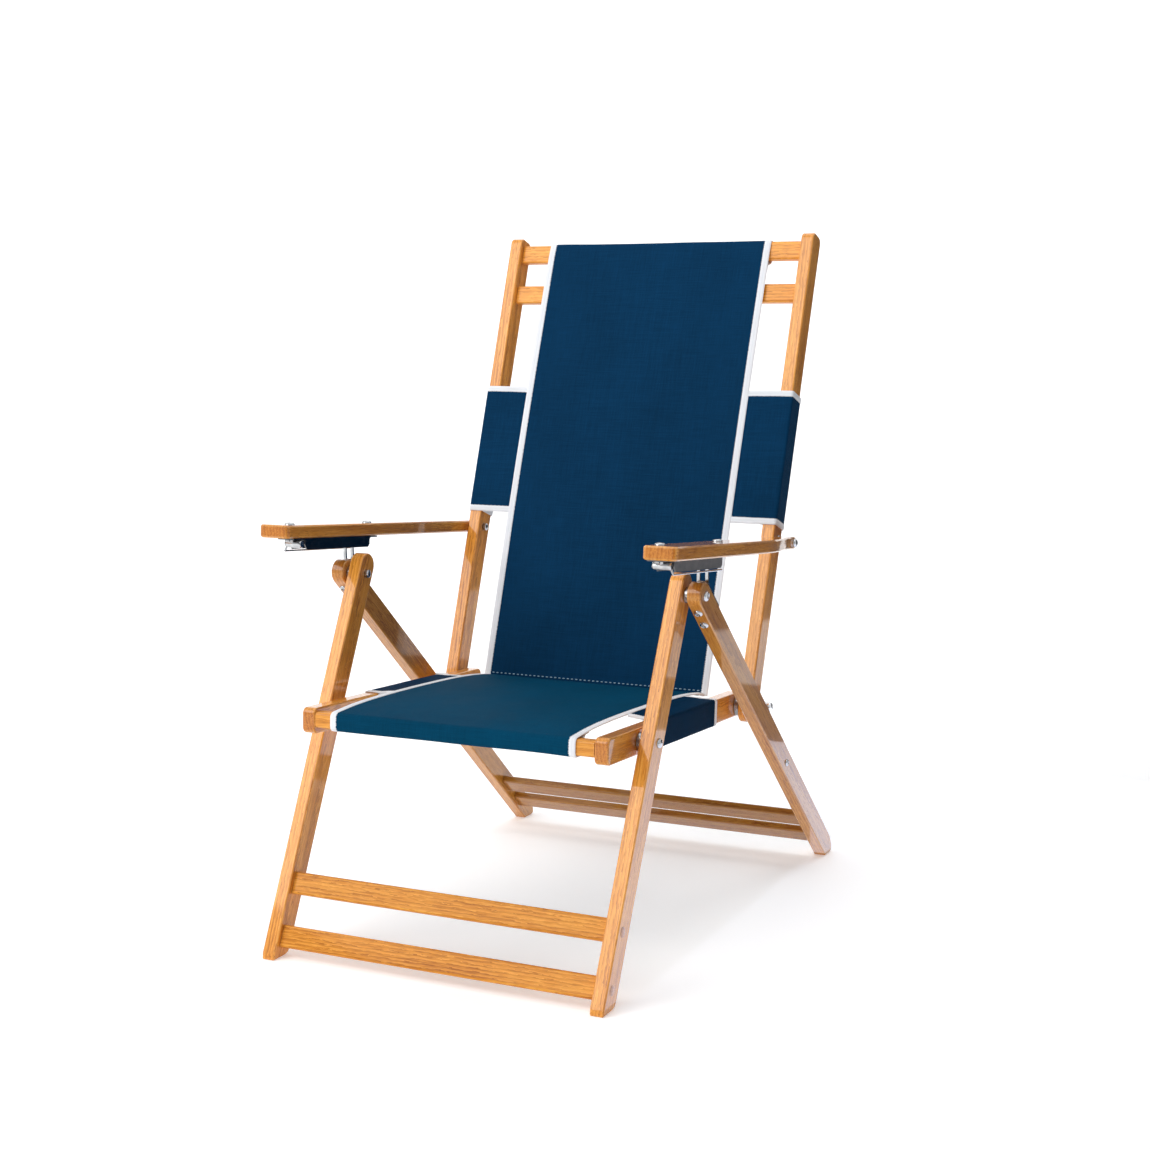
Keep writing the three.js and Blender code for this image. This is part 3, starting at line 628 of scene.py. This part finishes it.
# ---- Fittings ------------------------------------------------------------------------------
def bolt_profile(nut, head, radius, shank, head_height, recess=False):
    """From the nut's outer end to the top of the head, going along the axis."""
    way = 1 if head > nut else -1
    nut_radius = 0.86 * radius
    station = lambda distance: nut + way * distance
    top = lambda distance: head - way * distance
    profile = [(0, station(0)), (0.55 * nut_radius, station(0)), (0.85 * nut_radius, station(0.5)),
               (nut_radius, station(1.3)), (nut_radius, station(4.6)), (shank, station(4.8)),
               (shank, top(head_height + 0.02)), (radius, top(head_height))]
    for share in (0.25, 0.5, 0.75, 1.0):
        angle = share * math.pi / 2.6
        profile.append((radius * math.cos(angle) ** 0.6, top(head_height * (1 - math.sin(angle)))))
    if recess:
        profile += [(0.56 * radius, top(0.0)), (0.50 * radius, top(0.3)), (0.44 * radius, top(1.6)),
                    (0.2 * radius, top(1.9)), (0, top(2.0))]
    else:
        profile += [(0.3 * radius, top(0.02)), (0, top(0))]
    return profile


def bolts():
    """Replaces every bolt with a finely turned one of the same size and place. A row holds the node,
    its frame, axis and body, the head's height, whether the head has a recess, and the shank's radius."""
    # Painted shade: the bolts' chrome is dimmed.
    bright = chrome("bolt", 0.66)
    rows = [("leg_pivot_bolt", FRONT, "x", "front_frame", 3.8, True, 5.0),
            ("seat_pivot_bolt", SEAT, "x", "seat_frame", 3.8, False, 5.0),
            ("arm_pivot_bolt", ARM, "x", "arm_pin_{}", 3.8, False, 5.0),
            ("hook_bolt", REAR, "x", "rear_frame", 2.6, True, 3.0),
            ("strap_bolt_1", REAR, "y", "rear_frame", 3.1, True, 3.0),
            ("strap_bolt_2", REAR, "y", "rear_frame", 3.1, True, 3.0),
            ("rack_bolt_1", ARM, "z", "arm_{}", 3.2, False, 3.0),
            ("rack_bolt_2", ARM, "z", "arm_{}", 3.2, False, 3.0)]
    for name, place, axis, body, head_height, recess, shank in rows:
        k = "xyz".index(axis)
        for side, sign in SIDES.items():
            low, high = place.box(f"{name}_{side}")
            middle = (low + high) / 2
            radius = (high - low)[(k + 1) % 3] / 2
            nut, head = low[k], high[k]
            if (axis == "x" and sign < 0) or axis == "y":
                nut, head = head, nut
            profile = bolt_profile(nut, head, radius, shank, head_height, recess)
            profile = profile if head > nut else profile[::-1]
            lathe(f"turned_{name}_{side}", place, profile, axis, middle, bright, body.format(side),
                  replaces=[f"{name}_{side}"])


def rings():
    """Replaces spacers and washers with finely turned, softly chamfered rings."""
    # Painted shade: the spacers' chrome is dimmed to half.
    bright = chrome("spacer", 0.5)
    rows = [("leg_spacer", FRONT, "front_frame"), ("seat_spacer", SEAT, "seat_frame"),
            ("back_spacer", SEAT, "back_pins"), ("arm_washer", ARM, "arm_pin_{}")]
    bore, chamfer = 5.3, 0.7
    for name, place, body in rows:
        for side in SIDES:
            low, high = place.box(f"{name}_{side}")
            outer = (high.y - low.y) / 2
            profile = [(bore, low.x), (outer - chamfer, low.x), (outer, low.x + chamfer),
                       (outer, high.x - chamfer), (outer - chamfer, high.x), (bore, high.x), (bore, low.x)]
            lathe(f"turned_{name}_{side}", place, profile, "x", (low + high) / 2, bright,
                  body.format(side), replaces=[f"{name}_{side}"])


def back_pins():
    """Replaces the long pins with turned ones: a nut inside, a sleeve outside."""
    bright = chrome("pin")
    for side, sign in SIDES.items():
        low, high = SEAT.box(f"back_pivot_bolt_{side}")
        inner, outer = (low.x, high.x) if sign > 0 else (high.x, low.x)
        rail = SEAT.box(f"seat_side_rail_{side}")
        face = (rail[0].x if sign > 0 else rail[1].x) - sign * 0.3
        leg = REAR.box(f"rear_leg_{side}")
        sleeve = (leg[0].x if sign > 0 else leg[1].x) - sign * 1.4
        radius = (high.y - low.y) / 2
        profile = [(0, inner), (4.4, inner), (5.6, inner + sign * 0.8), (6, inner + sign * 1.6), (6, face),
                   (5, face), (5, sleeve), (radius - 0.5, sleeve), (radius, sleeve + sign * 0.5),
                   (radius, outer - sign * 4.2), (radius - 0.8, outer - sign * 2.4),
                   (5.2, outer - sign * 1.0), (3.0, outer - sign * 0.2), (0, outer)]
        lathe(f"turned_back_pivot_bolt_{side}", SEAT, profile if sign > 0 else profile[::-1], "x",
              (low + high) / 2, bright, "back_pins", replaces=[f"back_pivot_bolt_{side}"])


def dress_plates():
    """Chromes the pressed fittings and rounds their edges."""
    plain = chrome("plate", 0.7)
    # Painted shade: the racks are dimmed furthest, the left one more than the right.
    ribbed = {"right": chrome("rack_right", 0.30, ribs=4.0, rough=(0.42, 0.55)),
              "left": chrome("rack_left", 0.22, ribs=4.0, rough=(0.14, 0.22))}
    for side in SIDES:
        for name in ("arm_rack", "rack_roller", "latch_bail", "seat_hook"):
            piece = NODES[f"{name}_{side}"]
            piece.data.materials.clear()
            piece.data.materials.append(ribbed[side] if name == "arm_rack" else plain)
            refine_bar(f"{name}_{side}", 0.35)


# ---- Canvas --------------------------------------------------------------------------------
HALF_WIDTH = {"back": BACK.box("back_sling")[1].x, "seat": SEAT.box("seat_sling")[1].x}


def face_of(tree, station, along):
    """The sitter's side of a CAD sling at a station: y on the back, z on the seat."""
    if along == "z":
        hit = tree.ray_cast(Vector((0, -200, station)), Vector((0, 1, 0)))[0]
        return hit.y
    hit = tree.ray_cast(Vector((0, station, 200)), Vector((0, 0, -1)))[0]
    return hit.z


def back_path():
    """The back canvas seen from the side: up the front, over the top rail, and sewn down behind."""
    tree = BACK.tree("back_sling")
    foot = BACK.box("back_sling")[0].z
    rail_low, rail_high = BACK.box("back_rail_top")
    clear, corner = CLEAR + CLOTH / 2, 3.0
    inset = CLOTH / 2
    points = [(face_of(tree, foot + 0.5, "z") + inset, foot - CREASE_DROP)]
    for z in np.arange(foot + 0.5, rail_high.z - 14, 12.0):
        points.append((face_of(tree, z, "z") + inset, z))
    front, rear = rail_low.y + corner, rail_high.y - corner
    reach = corner + clear
    points += arc((front, rail_high.z - corner), reach, 180, 90)
    points += arc((rear, rail_high.z - corner), reach, 90, 0)
    points += [(rear + reach, rail_low.z + 4)]
    hem = rail_low.z - 12
    points += [(rear + reach - 1.5, rail_low.z - 3), (rail_low.y + 1, rail_low.z - 8)]
    points += [(face_of(tree, hem, "z") + inset + CLOTH + 0.4, hem)]
    points += [(face_of(tree, hem - 9, "z") + inset + CLOTH + 0.3, hem - 9)]
    return resample(points, GRID_STEP)


def seat_path():
    """The seat canvas seen from the side: from its hem up round the front rail, then rearwards to
    the seam with the back."""
    tree = SEAT.tree("seat_sling")
    rear = SEAT.box("seat_sling")[1].y
    rail_low, rail_high = SEAT.box("seat_front_rail")
    corner, inset = 5.0, CLOTH / 2
    reach = corner + 1.6
    front, back = rail_low.y + corner, rail_high.y - corner
    under = lambda y: face_of(tree, y, "y") - inset - CLOTH - 0.3
    points = [(rail_high.y + gap, under(rail_high.y + gap)) for gap in (20, 9)]
    points += [(back + reach + 0.6, rail_high.z - 5)]
    points += arc((back, rail_low.z + corner), reach, 0, -90)
    points += arc((front, rail_low.z + corner), reach, -90, -180)
    points += arc((front, rail_high.z - corner), reach, 180, 90)
    points += [(y, face_of(tree, y, "y") - inset) for y in np.arange(rail_high.y + 2, rear - 4, 10.0)]
    seam = SEAT.inverse @ crease_point() / MM
    points += [(rear - 2, face_of(tree, rear - 2, "y") - inset), (seam.y, seam.z)]
    return resample(points, GRID_STEP)


def crease_point():
    """Where the seat canvas and the back canvas are sewn together, in the row frame."""
    tree = BACK.tree("back_sling")
    foot = BACK.box("back_sling")[0].z
    return BACK.world(0, face_of(tree, foot + 0.5, "z") + CLOTH / 2, foot - CREASE_DROP)


def drape(half, length, seams):
    """Small unevenness of stretched canvas: slow waves, puckers along the tapes and at the seams."""
    def lift(x, s):
        slow = 0.9 * noise.noise(Vector((x / 95, s / 150, 0.3)))
        sag = -2.2 * (1 - (x / half) ** 2) * math.sin(math.pi * min(1, max(0, s / length)))
        tape = 0.22 * math.sin(2 * math.pi * s / 8.5) * math.exp(-(half - abs(x)) / 9)
        pucker = sum(0.32 * math.sin(2 * math.pi * x / 19 + noise.noise(Vector((x / 30, 0, at))) * 2)
                     * math.exp(-abs(s - at) / 11) for at in seams)
        return slow * min(1, (half - abs(x)) / 25 + 0.15) + sag * 0.5 + tape + pucker
    return lift


def join_at_seam(piece, which):
    """Bakes a piece's place into its own mesh. The hinge points that it works out go unused."""
    if which == "back":
        crease_point()
        BACK.world(0, -18, 60)
        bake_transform(piece)
    else:
        seam = SEAT.inverse @ crease_point() / MM
        SEAT.world(0, seam.y - SEAM_BEND, seam.z)
        crease_point()
        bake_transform(piece)


def sling(which, place, path, replaced, colour, seams):
    """One canvas panel with tape folded over both of its long edges."""
    half = HALF_WIDTH[which]
    width = TAPE_WIDTH[which]
    length = travel(path)[-1]
    reach = half - 1.2
    grid = strip(path, np.linspace(-reach, reach, ACROSS + 1), drape(half, length, seams))
    verts, faces, cloth = sheet_solid(grid, CLOTH)
    panel = add_piece(f"{which}_panel", place, verts, faces, canvas(which, colour), None, "canvas",
                      sharp=60, cloth=cloth, replaces=[replaced])
    join_at_seam(panel, which)
    for side, sign in SIDES.items():
        xs = sign * np.linspace(half - width, half + 0.2, 9)
        grid = strip(path, xs if sign > 0 else xs[::-1])
        verts, faces, cloth = sheet_solid(grid, crowned(9, TAPE))
        tape = add_piece(f"{which}_edge_tape_{side}", place, verts, faces, TAPE_MATERIAL, None, "binding",
                         sharp=50, cloth=cloth)
        join_at_seam(tape, which)
        x = sign * (half - width + 0.3)
        line = np.column_stack([np.full(len(path), x), path]) + outward_of(path) * (CLOTH / 2 + 0.35)
        row = stitch_row(f"{which}_tape_stitches_{side}", place, None, WHITE_THREAD, line,
                         outward_of(path), slant=TAPE_SLANT)
        join_at_seam(row, which)


def cross_row(name, place, path, station, half, material, which, body=None, size=STITCH):
    """A row of stitches straight across a panel, at a distance along its path."""
    gone = travel(path)
    point = np.array([np.interp(station, gone, path[:, k]) for k in range(2)])
    normals = outward_of(path)
    up = np.array([np.interp(station, gone, normals[:, k]) for k in range(3)])
    xs = np.linspace(-half, half, 120)
    line = np.column_stack([xs, np.full(120, point[0]), np.full(120, point[1])]) + up * (CLOTH / 2 + 0.3)
    row = stitch_row(name, place, body, material, line, np.tile(up, (120, 1)), size=size)
    if body is None:
        join_at_seam(row, which)


def sleeve_section(inner, outer, front, rear, edge):
    """A sleeve's loop seen along its bar, as (x, depth): out over the bar's sitter's side, round its
    outer side and its back, and up its inner side to lie under itself as far as the sling's edge."""
    clear, corner = CLEAR + CLOTH / 2, 2.4
    out, near, far = outer + clear, front - clear, rear + clear
    points = [(edge, near + 0.3), (edge + 12, near)]
    points += arc((out - corner, near + corner), corner, -90, 0, 6)
    points += arc((out - corner, far - corner), corner, 0, 90, 6)
    points += arc((inner - clear + corner, far - corner), corner, 90, 180, 6)
    points += [(inner - clear, near + 5), (inner - clear - 1.2, near + CLOTH + 1.6)]
    points += [(inner - clear - 5, near + CLOTH + 0.5), (edge, near + CLOTH + 0.7)]
    return resample(points, 2.0)


def sleeve(which, place, side, bar, replaced, body, point):
    """A canvas sleeve round a bar, with tape at both ends. point maps (x, depth, station) to local."""
    sign = SIDES[side]
    low, high = place.box(replaced)
    bar_low, bar_high = place.box(bar)
    inner, outer = sorted((abs(bar_low.x), abs(bar_high.x)))
    depth, run = (("y", "z") if which == "back" else ("z", "y"))
    front, rear = getattr(bar_low, depth), getattr(bar_high, depth)
    start, end = getattr(low, run), getattr(high, run)
    edge = HALF_WIDTH[which] + 0.3
    section = sleeve_section(inner, outer, front, rear, edge)
    tree = place.tree(f"{which}_sling")
    cloth_sign = 1 if which == "back" else -1

    def web(x, d, station):
        """The part inside the bar slopes to meet the sling's edge at every station."""
        level = cloth_sign * face_of(tree, station, run) + CLOTH
        slope_start = inner - 2.5
        share = min(1, max(0, (slope_start - x) / (slope_start - edge)))
        return d + share * (level - (front - CLEAR - CLOTH / 2))

    tape = TAPE_WIDTH["sleeve"]
    bands = [("", start + 1, end - 1, CLOTH, SLEEVE_CANVAS[which], "canvas"),
             ("_tape_start", start - 0.3, start + tape, TAPE, TAPE_MATERIAL, "binding"),
             ("_tape_end", end - tape, end + 0.3, TAPE, TAPE_MATERIAL, "binding")]
    for suffix, a, b, thick, material, slot in bands:
        is_tape = bool(suffix)
        stations = np.linspace(a, b, 9 if is_tape else int((b - a) / 6) + 1)
        around = travel(section)
        grid = np.zeros((len(section), len(stations), 3))
        for j, station in enumerate(stations):
            for i, (x, d) in enumerate(section):
                slack = 0.0 if is_tape else 0.5 * noise.noise(Vector((around[i] / 22, station / 40, sign)))
                grid[i, j] = point(sign * x, web(x, d - abs(slack) * (1 if d < 0 else -1), station), station)
        if sign * (1 if which == "back" else -1) < 0:
            grid = grid[:, ::-1]
        verts, faces, cloth = sheet_solid(grid, crowned(len(stations), thick) if is_tape else thick)
        cloth = cloth[:, [1, 0, 2]] if not is_tape else cloth
        piece = add_piece(f"{which}_sleeve{suffix}_{side}", place, verts, faces, material, body, slot,
                          sharp=50, cloth=cloth, replaces=() if is_tape else [replaced])
        if is_tape:
            station = b - 0.5 if suffix == "_tape_start" else a + 0.5
            normals = -outward_of(section)[:, 1:]    # the loop turns the other way
            proud = 0.9
            line = [point(sign * (x + n[0] * proud), web(x, d + n[1] * proud, station), station)
                    for (x, d), n in zip(section, normals)]
            ups = [np.array(point(sign * n[0], n[1], 0)) for n in normals]
            stitch_row(f"{which}_sleeve{suffix}_stitches_{side}", place, body, WHITE_THREAD, line, ups,
                       slant=TAPE_SLANT)


def dress_canvas():
    """All cloth: the two panels, their tapes and seams, and the four sleeves."""
    path = back_path()
    length = travel(path)[-1]
    sling("back", BACK, path, "back_sling", NAVY["back"], (2.0,))
    half = HALF_WIDTH["back"] - TAPE_WIDTH["back"]
    cross_row("crease_stitches", BACK, path, 7.0, half - 1, SEAM_THREAD, "back", "back_pins", SEAM_STITCH)
    cross_row("back_hem_stitches", BACK, path, length - 4.0, half - 1, NAVY_THREAD, "back")
    seat = seat_path()
    length = travel(seat)[-1]
    sling("seat", SEAT, seat, "seat_sling", NAVY["seat"], (length - 2.0,))
    for side in SIDES:
        sleeve("back", BACK, side, f"back_upright_{side}", f"back_side_sleeve_{side}", "back_frame",
               lambda x, d, s: (x, d, s))
        sleeve("seat", SEAT, side, f"seat_side_rail_{side}", f"seat_side_sleeve_{side}", "seat_frame",
               lambda x, d, s: (x, s, -d))


# ---- Stage ---------------------------------------------------------------------------------
def make_floor():
    """A pale floor that curves up into a backdrop behind the chair."""
    depth, rise, bend, half = 3.2, 4.0, 1.6, 14.0
    profile = [(-6.0, 0.0), (depth - bend, 0.0)]
    profile += [(depth - bend + bend * math.sin(a), bend - bend * math.cos(a))
                for a in np.linspace(0.05, math.pi / 2, 24)]
    profile += [(depth, rise)]
    verts = [(x, y, z) for y, z in profile for x in (-half, half)]
    faces = [(2 * i, 2 * i + 1, 2 * i + 3, 2 * i + 2) for i in range(len(profile) - 1)]
    mesh = bpy.data.meshes.new("floor")
    mesh.from_pydata(verts, [], faces)
    mesh.shade_smooth()
    mesh.materials.append(floor_paint())
    floor = bpy.data.objects.new("floor", mesh)
    floor.location.z = -0.2 * MM
    bpy.context.scene.collection.objects.link(floor)


def card(name, corners, mirrored=True, **surface):
    """A card that the camera doesn't see: either only reflections see it, or only soft light does."""
    mesh = bpy.data.meshes.new(name)
    mesh.from_pydata(corners, [], [(0, 1, 2, 3)])
    mesh.materials.append(blank_material(name, **surface)[0])
    made = bpy.data.objects.new(name, mesh)
    made.visible_camera = False
    made.visible_shadow = False
    made.visible_diffuse = not mirrored
    made.visible_glossy = mirrored
    bpy.context.scene.collection.objects.link(made)


def dark_flag(name, foot, facing, width, height, mirrored=True):
    """A black card standing on the floor. It gives varnish and chrome something dark to mirror, or,
    where it isn't mirrored, it holds back soft light from one side."""
    along = Vector((-facing[1], facing[0], 0)).normalized() * width / 2
    low, up = Vector((*foot, 0.01)), Vector((0, 0, height))
    corners = [low - along, low + along, low + along + up, low - along + up]
    card(name, corners, mirrored, **BLACK_CARD)


def floor_card(name, left, right, near, far, **surface):
    """A card lying on the floor beside the chair that the varnish of the side faces mirrors."""
    corners = [(left, near, 0.005), (right, near, 0.005), (right, far, 0.005), (left, far, 0.005)]
    card(name, corners, **surface)


def area_light(name, size, place, target, energy, colour=(1, 1, 1)):
    """A soft rectangular light that the camera doesn't see."""
    data = bpy.data.lights.new(name, "AREA")
    data.shape = "RECTANGLE"
    data.size, data.size_y = size
    data.energy = energy
    data.color = colour
    light = bpy.data.objects.new(name, data)
    light.location = place
    light.visible_camera = False
    light.rotation_euler = (Vector(target) - Vector(place)).to_track_quat("-Z", "Y").to_euler()
    bpy.context.scene.collection.objects.link(light)


def studio_world():
    """Soft light from all round. The camera itself sees plain white past the floor's edges."""
    world = bpy.data.worlds.new("studio")
    world.use_nodes = True
    nodes, links = world.node_tree.nodes, world.node_tree.links
    light = nodes["Background"]
    light.inputs["Color"].default_value = WORLD_TINT
    light.inputs["Strength"].default_value = WORLD_LIGHT
    seen = nodes.new("ShaderNodeBackground")
    seen.inputs["Color"].default_value = (1, 1, 1, 1)
    ray, choice = nodes.new("ShaderNodeLightPath"), nodes.new("ShaderNodeMixShader")
    links.new(ray.outputs["Is Camera Ray"], choice.inputs["Fac"])
    links.new(light.outputs["Background"], choice.inputs[1])
    links.new(seen.outputs["Background"], choice.inputs[2])
    links.new(choice.outputs["Shader"], nodes["World Output"].inputs["Surface"])
    return world


def light_stage():
    """The world's light, a key from the front left, one from above, and the cards and flags."""
    bpy.context.scene.world = studio_world()
    middle = (0, 0, 0.45)
    area_light("key", (2.6, 2.6), (-2.2, -3.0, 3.0), middle, 70, (1.0, 0.985, 0.96))
    area_light("top", (2.4, 2.4), (0.2, 0.4, 3.4), middle, 20)
    dark_flag("flag_right", (1.35, 1.95), (-0.43, -0.90), 2.6, 1.4)
    dark_flag("flag_side", (1.5, 0.3), (-1.0, 0.0), 4.5, 2.4, mirrored=False)
    floor_card("sheen_card", BESIDE_LEGS, 1.7, -0.6, 1.15, **GLOWING_CARD)
    floor_card("dark_card", BESIDE_LEGS, 2.6, 1.15, 2.4, **BLACK_CARD)
    dark_flag("flag_front", (2.3, -3.6), (-0.5, 0.8), 1.6, 2.2)
    dark_flag("flag_left", (-2.6, 0.6), (1.0, 0.0), 1.6, 1.6)
    bpy.context.scene.view_settings.view_transform = "Standard"


# ---- Build ---------------------------------------------------------------------------------
make_camera()
TAPE_MATERIAL = edge_tape()
SLEEVE_CANVAS = {which: canvas(f"{which}_sleeve", NAVY[f"{which}_sleeve"])
                 for which in ("back", "seat")}
WHITE_THREAD, SEAM_THREAD, NAVY_THREAD = (thread(name, colour) for name, colour in THREADS.items())
dress_bars()
dowel_plugs()
bolts()
rings()
back_pins()
dress_plates()
dress_canvas()
make_floor()
light_stage()
